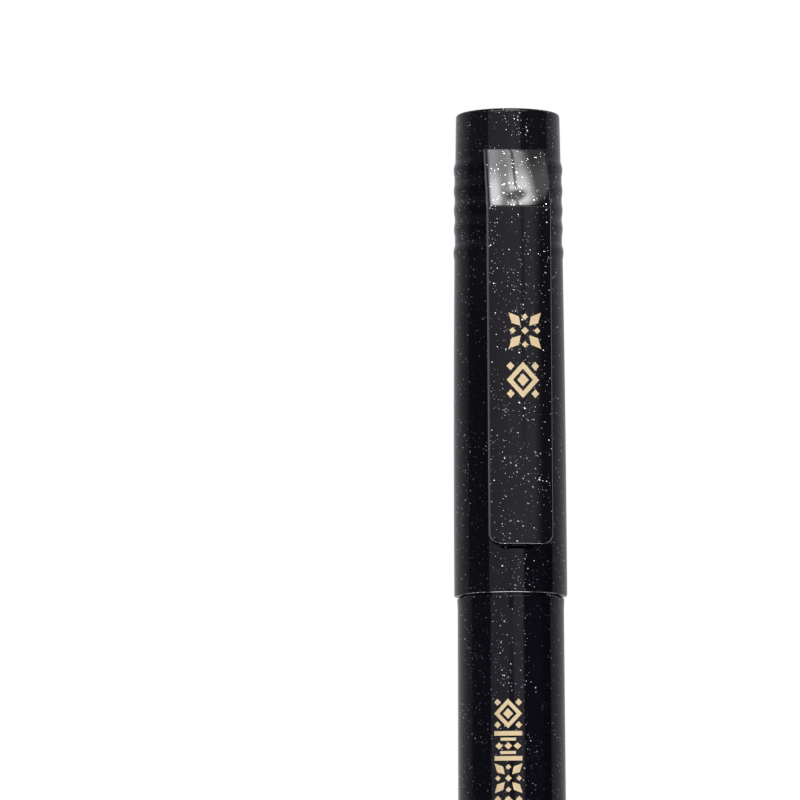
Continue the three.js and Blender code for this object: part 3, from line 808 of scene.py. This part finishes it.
def clip_outline(inset):
    """Left half of the clip's front view, from its top to its bottom edge, in (x, z)."""
    side = inset - CLIP_HALF_WIDTH
    points = [(side, z) for z in clip_heights()]
    radius = CLIP_CORNER_R - inset
    for i in range(1, 13):
        a = math.pi / 2 * i / 12
        x = CLIP_CORNER_R - CLIP_HALF_WIDTH - radius * math.cos(a)
        points.append((x, CLIP_BOTTOM_Z + CLIP_CORNER_R - radius * math.sin(a)))
    return points


def across(x, z):
    """Points from the left half's point to its mirror image."""
    return [(x * (1 - 2 * i / CLIP_COLUMNS), z) for i in range(CLIP_COLUMNS + 1)]


def sheet(bm, rows):
    """Faces through a grid of points."""
    grid = [[bm.verts.new(point) for point in row] for row in rows]
    for a, b in zip(grid, grid[1:]):
        for i in range(len(a) - 1):
            bm.faces.new((a[i], a[i + 1], b[i + 1], b[i]))


def clip_plate(bm):
    """Closed plate: outer face, bevelled edges, walls, inner face and top."""
    def band(inset, drop):
        left = clip_outline(inset)
        right = [(-x, z) for x, z in reversed(left)]
        path = left + across(*left[-1])[1:-1] + right
        if drop is None:
            return [(x, -clip_back(x, z), z) for x, z in path]
        return [(x, drop - clip_face(x, z), z) for x, z in path]

    steps = clip_edge_steps()
    bands = [band(0, None)] + [band(inset, drop) for inset, drop in steps]
    sheet(bm, bands)
    face_rows = [across(x, z) for x, z in clip_outline(steps[-1][0])]
    back_rows = [across(x, z) for x, z in clip_outline(0)]
    face = [[(x, -clip_face(x, z), z) for x, z in row] for row in face_rows]
    back = [[(x, -clip_back(x, z), z) for x, z in row] for row in back_rows]
    sheet(bm, face)
    sheet(bm, back)
    top = [b[0] for b in bands] + face[0][1:-1]
    top += [b[-1] for b in reversed(bands)] + back[0][-2:0:-1]
    bm.faces.new([bm.verts.new(point) for point in top])


def clip_nub(bm):
    """Dome on the clip's inner face that presses on a pocket's cloth."""
    face = clip_outer_reach(CLIP_NUB_Z) - CLIP_THICK
    height = face - cap_radius(CLIP_NUB_Z) - 0.1
    dome = [(0, -0.3), (CLIP_NUB_R, -0.3), (CLIP_NUB_R, 0)]
    dome += quadratic(dome[-1], (CLIP_NUB_R, height), (0, height), 14)
    before = set(bm.verts)
    turn(bm, dome, 48)
    for vert in set(bm.verts) - before:
        x, y, z = vert.co
        vert.co = (x, -face + z, CLIP_NUB_Z + y)


def clip_key(bm):
    """Round key that the clip turns on, half sunk in the cap."""
    radius, half = CLIP_KEY_R, CLIP_KEY_HALF
    key = [(0, -half), (radius - CHAMFER, -half), (radius, -half + CHAMFER)]
    key += [(radius, half - CHAMFER), (radius - CHAMFER, half), (0, half)]
    before = set(bm.verts)
    turn(bm, key, 32)
    reach = cap_radius(CLIP_PIVOT_Z)
    for vert in set(bm.verts) - before:
        x, y, z = vert.co
        vert.co = (z, -reach + y, CLIP_PIVOT_Z + x)


def clip():
    """The whole clip: plate, nub and key."""
    bm = bmesh.new()
    clip_plate(bm)
    clip_nub(bm)
    clip_key(bm)
    return finish_mesh("clip_spring", bm)


# ---- Gold decoration --------------------------------------------------------------------------

COLUMN_AZIMUTH = -12.0  # the column's middle, in degrees from the pen's front
COLUMN_TOP_Z = 74.35
COLUMN_LOW_Z = 46.0
COLUMN_HALF_WIDTH = 1.5
COLUMN_PITCH = 3.45
FOIL_RINGS = 5  # loops that lay a foil shape over a curved face
CLIP_ROSETTE_AT = (0.45, 113.5)
CLIP_LATTICE_AT = (0.2, 108.2)
CLIP_MOTIF_HALF = (1.75, 1.95)


def on_clip(x, z):
    """Point of the clip's outer face, and the way out from it."""
    return Vector((x, -clip_face(x, z), z)), Vector((0, -1, 0))


def on_barrel(x, z):
    """Point of the barrel's front; x is measured round the barrel."""
    radius = barrel_radius(z)
    angle = math.radians(COLUMN_AZIMUTH) + x / radius
    out = Vector((math.sin(angle), -math.cos(angle), 0))
    return out * radius + Vector((0, 0, z)), out


def subdivided(corners):
    """Closed polygon with extra points along its sides."""
    points = []
    for a, b in zip(corners, corners[1:] + corners[:1]):
        count = max(1, round(math.dist(a, b) / FOIL_STEP))
        points += [tuple(p + (q - p) * i / count for p, q in zip(a, b)) for i in range(count)]
    return points


def foil_patch(bm, place, corners, origin, hole=0.04):
    """Thin raised patch of foil over a curved face, from its outline in to a smaller copy."""
    outline = subdivided(corners)
    middle = [sum(values) / len(outline) for values in zip(*outline)]
    sizes = [1 - (1 - hole) * i / FOIL_RINGS for i in range(FOIL_RINGS + 1)]
    profile = [(1, -FOIL_RISE)] + [(size, FOIL_RISE) for size in sizes] + [(hole, -FOIL_RISE)]
    loops = []
    for size, rise in profile:
        loop = []
        for x, z in outline:
            u = origin[0] + middle[0] + (x - middle[0]) * size
            v = origin[1] + middle[1] + (z - middle[1]) * size
            point, out = place(u, v)
            loop.append(bm.verts.new(point + out * rise))
        loops.append(loop)
    for a, b in zip(loops, loops[1:] + loops[:1]):
        bridge(bm, a, b)


def lozenge(half_width, half_height, x=0.0, z=0.0):
    return [(x + half_width, z), (x, z + half_height), (x - half_width, z), (x, z - half_height)]


def bar(half_width, half_height, x=0.0, z=0.0):
    corners = ((1, -1), (1, 1), (-1, 1), (-1, -1))
    return [(x + i * half_width, z + k * half_height) for i, k in corners]


def leaf(angle, start, end, half_width):
    """Pointed leaf that lies along a direction from the motif's middle."""
    along = (math.cos(angle), math.sin(angle))
    middle = start + 0.45 * (end - start)
    shape = ((start, 0), (middle, half_width), (end, 0), (middle, -half_width))
    return [(u * along[0] - v * along[1], u * along[1] + v * along[0]) for u, v in shape]


def rosette(bm, place, origin, half_width, half_height):
    """Leaves on the diagonals and lozenges between them."""
    diagonal = math.atan2(half_height, half_width)
    length = math.hypot(half_width, half_height)
    for angle in (diagonal, math.pi - diagonal, math.pi + diagonal, -diagonal):
        foil_patch(bm, place, leaf(angle, 0.26 * length, length, 0.2 * length), origin)
    foil_patch(bm, place, lozenge(0.24 * half_width, 0.24 * half_width), origin)
    for x, z in ((1, 0), (-1, 0), (0, 1), (0, -1)):
        at = (0.76 * half_width * x, 0.76 * half_height * z)
        foil_patch(bm, place, lozenge(0.2 * half_width, 0.2 * half_width, *at), origin)


def lattice(bm, place, origin, half_width, half_height):
    """Lozenge in a lozenge, with a small one at each corner."""
    foil_patch(bm, place, lozenge(half_width, half_height), origin, 0.62)
    foil_patch(bm, place, lozenge(0.36 * half_width, 0.36 * half_height), origin)
    for x, z in ((1, 1), (-1, 1), (1, -1), (-1, -1)):
        at = (0.76 * half_width * x, 0.76 * half_height * z)
        foil_patch(bm, place, lozenge(0.24 * half_width, 0.24 * half_height, *at), origin)


def ladder(bm, place, origin, half_width, half_height):
    """Long bars above and below a row of three lozenges."""
    for z in (-0.84, 0.84):
        foil_patch(bm, place, bar(half_width, 0.15 * half_height, 0, z * half_height), origin)
    for z in (-0.45, 0.45):
        foil_patch(bm, place, bar(0.55 * half_width, 0.1 * half_height, 0, z * half_height), origin)
    for x in (-0.66, 0, 0.66):
        shape = lozenge(0.28 * half_width, 0.24 * half_height, x * half_width)
        foil_patch(bm, place, shape, origin)


def clip_foil():
    """Two motifs, one above the other, high on the clip."""
    bm = bmesh.new()
    rosette(bm, on_clip, CLIP_ROSETTE_AT, *CLIP_MOTIF_HALF)
    lattice(bm, on_clip, CLIP_LATTICE_AT, *CLIP_MOTIF_HALF)
    return finish_mesh("clip_ornament", bm)


def barrel_foil():
    """Column of motifs down the barrel."""
    bm = bmesh.new()
    motifs = (lattice, ladder, rosette)
    half = 0.46 * COLUMN_PITCH
    for i in range(int((COLUMN_TOP_Z - COLUMN_LOW_Z) / COLUMN_PITCH)):
        z = COLUMN_TOP_Z - half - COLUMN_PITCH * i
        motifs[i % 3](bm, on_barrel, (0, z), COLUMN_HALF_WIDTH, half)
    return finish_mesh("barrel_ornament", bm)


# ---- Studio -----------------------------------------------------------------------------------

CAMERA_AZIMUTH = -7.5
BACK = Vector((math.sin(math.radians(CAMERA_AZIMUTH)), -math.cos(math.radians(CAMERA_AZIMUTH)), 0))
RIGHT = Vector((-BACK.y, BACK.x, 0))

# Brightness of the studio round the pen: (degrees to the right of the camera, radiance)
STUDIO = (
    (-180, 0.52), (-157, 0.54), (-131, 0.41), (-114, 0.31), (-101, 0.22), (-95.5, 0.19),
    (-93.5, 0.09), (-60, 0.09), (-46, 0.09), (-44, 0.42), (0, 0.46), (12, 0.57), (24, 0.57),
    (29, 0.10), (63, 0.09), (80, 0.05), (93.5, 0.05), (95.5, 0.24), (101, 0.27), (114, 0.34),
    (131, 0.45), (180, 0.50),
)
POST = (0.03, 0.03, 0.035, 1)  # dark gap between two soft boxes, low down in front
POST_DEPTH = 0.62
LOW_GLOW = (2.0, 2.0, 2.0, 1)  # below and behind
LOW_LAMP = (24.0, 24.0, 24.0, 1)  # straight below
LAMP_BRIGHT = 17.0  # radiance of the high lamp's lower part
LAMP_DIM = 6.2  # and of its upper part
LAMP_SLANT = 0.35  # how much the high lamp's right edge leans
LAMP_MIDDLE = 47  # height of the high lamp, in degrees
SEAM = 17.5  # the high lamp's middle, in degrees to the right of the camera
KNOB_HEIGHT = 45.8
KNOB_HALF = (9.0, 1.2)


def studio_colour(angle, radiance):
    """Slightly cool light from the front, neutral light from behind."""
    tint = (1.03, 0.98, 1.12) if abs(angle) < 94 else (1.03, 0.97, 1.05)
    return tuple(radiance * c for c in tint) + (1,)


def between(n, value, low, high, soft):
    """1 between low and high, fading to 0 over a soft margin inside them."""
    rise = n.step(value, low, low + soft)
    fall = n.math("SUBTRACT", 1.0, n.step(value, high - soft, high))
    return n.math("MULTIPLY", rise, fall)


def high_lamp(n, angle, height):
    """Soft box above the camera: brighter low down, with a dimmer strip left of its middle."""
    level_aside = n.math("SUBTRACT", angle, LAMP_SLANT * LAMP_MIDDLE)
    slant = n.math("MULTIPLY_ADD", height, LAMP_SLANT, level_aside)
    left = n.step(angle, -10, -1)
    skirt = n.mix_number(n.step(slant, 46, 52), 0.1, 0.0)
    right = n.mix_number(n.step(slant, 23, 34), 1.0, skirt)
    level = n.mix_number(n.step(height, 46.8, 51.5), LAMP_BRIGHT, LAMP_DIM)
    level = n.math("MULTIPLY", level, n.step(height, 42.7, 44.7))
    level = n.math("MULTIPLY", level, n.math("SUBTRACT", 1.0, n.step(height, 58, 62)))
    depth = n.mix_number(n.step(height, 46, 53), 0.7, 0.25)
    strip = n.math("MULTIPLY", between(n, angle, 2, 16, 6), depth)
    dimmer = n.math("SUBTRACT", 1.0, strip)
    shape = n.math("MULTIPLY", n.math("MULTIPLY", left, right), dimmer)
    return n.scaled((0.92, 0.91, 0.92), n.math("MULTIPLY", level, shape))


def front_fill(n, angle, height):
    """Broad soft light over the camera, too high for upright faces to mirror it."""
    wide = between(n, angle, -48, 48, 8)
    tall = between(n, height, 14, 36, 3)
    return n.scaled((1.6, 1.55, 1.6), n.math("MULTIPLY", wide, tall))


def lamp_seam(n, angle, height):
    """Thin dark joint down the middle of the lamps, with a dark knob at its foot."""
    aside = n.math("ABSOLUTE", n.math("SUBTRACT", angle, SEAM))
    line = n.math("SUBTRACT", 1.0, n.step(aside, 0.6, 1.7))
    line = n.math("MULTIPLY", line, n.step(height, 6.2, 6.8))
    line = n.math("MULTIPLY", line, n.mix_number(n.step(height, 25, 40), 0.42, 0.7))
    u = n.math("DIVIDE", aside, KNOB_HALF[0])
    v = n.math("DIVIDE", n.math("SUBTRACT", height, KNOB_HEIGHT), KNOB_HALF[1])
    knob = n.math("SQRT", n.math("ADD", n.math("MULTIPLY", u, u), n.math("MULTIPLY", v, v)))
    knob = n.math("SUBTRACT", 1.0, n.step(knob, 0.5, 1.2))
    shade = n.math("MAXIMUM", line, n.math("MULTIPLY", knob, 0.85))
    return n.math("SUBTRACT", 1.0, shade)


def lit_from_below(n, light, angle, height):
    """Adds the soft glow and the lamp that the pen's downward edges mirror."""
    behind = n.step(n.math("ABSOLUTE", angle), 70, 100)
    glow = n.math("MULTIPLY", behind, n.step(height, -34, -38))
    light = n.mix_colour(glow, light, LOW_GLOW)
    return n.mix_colour(n.step(height, -66, -71), light, LOW_LAMP)


def studio_world():
    world = bpy.data.worlds.new("studio")
    world.use_nodes = True
    bpy.context.scene.world = world
    n = Nodes(world.node_tree)
    way = n.add("ShaderNodeTexCoord").outputs["Generated"]
    ahead = n.vector("DOT_PRODUCT", way, tuple(BACK))
    aside = n.vector("DOT_PRODUCT", way, tuple(RIGHT))
    angle = n.math("MULTIPLY", n.math("ARCTAN2", aside, ahead), 180 / math.pi)
    parts = n.add("ShaderNodeSeparateXYZ")
    n.link(way, parts.inputs[0])
    height = n.math("MULTIPLY", n.math("ARCSINE", parts.outputs[2]), 180 / math.pi)

    turn_share = n.math("MULTIPLY_ADD", angle, 1 / 360, 0.5)
    stops = [((a + 180) / 360, studio_colour(a, r)) for a, r in STUDIO]
    light = n.ramp(turn_share, stops)
    low = n.math("SUBTRACT", 1.0, n.step(height, 4.55, 4.85))
    post = n.math("MULTIPLY", between(n, angle, -6, 6, 1.5), low)
    light = n.mix_colour(n.math("MULTIPLY", post, POST_DEPTH), light, POST)
    haze = n.scaled((0.06, 0.058, 0.062), n.step(height, 7.5, 9.5))
    light = n.vector("ADD", light, haze)
    light = n.vector("ADD", light, front_fill(n, angle, height))
    light = n.vector("ADD", light, high_lamp(n, angle, height))
    light = n.scaled(light, lamp_seam(n, angle, height))
    light = lit_from_below(n, light, angle, height)

    seen = n.add("ShaderNodeLightPath").outputs["Is Camera Ray"]
    background = n.add("ShaderNodeBackground")
    n.link(n.mix_colour(seen, light, (1, 1, 1, 1)), background.inputs["Color"])
    output = n.add("ShaderNodeOutputWorld")
    n.link(background.outputs[0], output.inputs["Surface"])


FLOOR_R = 2.5
FLOOR_SIDES = 96
FLOOR_RINGS = 8
FLOOR_DROP = 0.0002  # the floor lies this far below the tail's end face


def floor():
    """Round pale floor that the tail end stands on."""
    bm = bmesh.new()
    rings = [[bm.verts.new((0, 0, 0))]]
    angles = [2 * math.pi * i / FLOOR_SIDES for i in range(FLOOR_SIDES)]
    for k in range(1, FLOOR_RINGS + 1):
        radius = FLOOR_R * (k / FLOOR_RINGS) ** 2
        places = [(radius * math.cos(a), radius * math.sin(a), 0) for a in angles]
        rings.append([bm.verts.new(place) for place in places])
    for i in range(FLOOR_SIDES):
        bm.faces.new((rings[0][0], rings[1][i], rings[1][(i + 1) % FLOOR_SIDES]))
    for a, b in zip(rings[1:], rings[2:]):
        for i in range(FLOOR_SIDES):
            j = (i + 1) % FLOOR_SIDES
            bm.faces.new((a[i], b[i], b[j], a[j]))
    mesh = bpy.data.meshes.new("floor")
    bm.to_mesh(mesh)
    bm.free()
    made = bpy.data.objects.new("floor", mesh)
    made.location.z = cad_box[0].z - FLOOR_DROP
    bpy.context.scene.collection.objects.link(made)
    made.visible_glossy = False
    mesh.materials.append(floor_paint())


CAMERA_DISTANCE = 0.8
EYE_Z = 18.4
AIM_Z = 107.05
AIM_ASIDE = 11.80  # the pen stands this far to the right of the frame's centre
LEAN = 0.28  # degrees that the pen leans to the left in the frame
LENS = 336


def camera():
    data = bpy.data.cameras.new("camera")
    data.lens = LENS
    data.sensor_width = 36
    data.clip_start = 0.05
    data.clip_end = 20
    made = bpy.data.objects.new("camera", data)
    bpy.context.scene.collection.objects.link(made)
    aside = -RIGHT * AIM_ASIDE * MM
    eye = BACK * CAMERA_DISTANCE + Vector((0, 0, EYE_Z * MM)) + aside
    aim = Vector((0, 0, AIM_Z * MM)) + aside
    look = (aim - eye).to_track_quat("-Z", "Y")
    made.rotation_mode = "QUATERNION"
    made.location = eye
    made.rotation_quaternion = look @ Quaternion((0, 0, 1), math.radians(-LEAN))
    bpy.context.scene.camera = made


# ---- Assembly ---------------------------------------------------------------------------------

COOL_BLACKS = (0.0003, 0.0002, 0.0024, 1), (0.0008, 0.0006, 0.0038, 1)
WARM_BLACKS = (0.0014, 0.0011, 0.0016, 1), (0.0024, 0.0018, 0.0026, 1)

glitter = glitter_plastic("glitter_black", *COOL_BLACKS)
clip_glitter = glitter_plastic("clip_black", *WARM_BLACKS, fewest=0.6)
white = moulded_white()
felt = inked_fibre()
hair_black = bristle_nylon()
gold = gold_foil()

dress(barrel(), glitter, "pen", ["barrel"])
dress(tail_plug(), glitter, "pen", ["tail_plug"])
dress(front_section(), glitter, "pen", ["front_section"])
dress(brush_collar(), glitter, "pen", ["brush_collar"])
dress(bristles(), hair_black, "pen", ["brush_bristles"])
dress(cap_shell(), glitter, "cap", ["cap_shell"])
dress(inner_cap(), white, "cap", ["inner_cap"])
dress(clip(), clip_glitter, "clip", ["clip"])
dress(clip_foil(), gold, "clip")
dress(barrel_foil(), gold, "pen")

KEPT = {
    "brush_root": hair_black,
    "feed_holder": white,
    "feed_wick": felt,
    "ink_reservoir": felt,
    "reservoir_film": wrap_film(),
}
for node, material in KEPT.items():
    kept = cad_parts[node]
    kept.data.materials.clear()
    kept.data.materials.append(material)

floor()
studio_world()
camera()
bpy.context.scene.view_settings.view_transform = "Standard"
